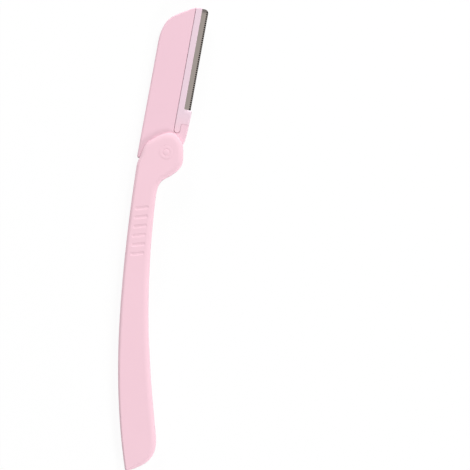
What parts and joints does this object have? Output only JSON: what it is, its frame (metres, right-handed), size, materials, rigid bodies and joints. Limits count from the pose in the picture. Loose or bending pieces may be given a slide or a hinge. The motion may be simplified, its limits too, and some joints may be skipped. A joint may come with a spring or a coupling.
{
  "type": "folding eyebrow razor",
  "caption": "Folding eyebrow razor with a long curved flat handle, a round boss, and a broad flat head that carries a guarded steel blade along one side and folds into a slot in the handle.",
  "frame": {"origin": "the pivot's axis, on the flat back face that the razor lies on", "axes": "+Y along the straight spine of the opened head, +X towards the cutting edge, +Z from the back face out through the front of the handle"},
  "size_m": [0.0266, 0.1782, 0.0054],
  "materials": {
    "handle_plastic": "satin",
    "pin_plastic": "satin",
    "arm_plastic": "satin",
    "carrier_plastic": "satin",
    "blade_steel": "ground",
    "guard_steel": "satin"
  },
  "bodies": {
    "handle": {"handle_front": "handle_plastic", "handle_back": "handle_plastic", "pivot_pin": "pin_plastic"},
    "head": {"blade_arm": "arm_plastic", "blade_carrier": "carrier_plastic", "blade": "blade_steel", "blade_guard": "guard_steel"}
  },
  "joints": [
    {"name": "head_fold", "type": "hinge", "parent": "handle", "child": "head", "pos_m": [0, 0, 0.0027], "axis": [0, 0, -1], "range_deg": [0, 174]}
  ]
}
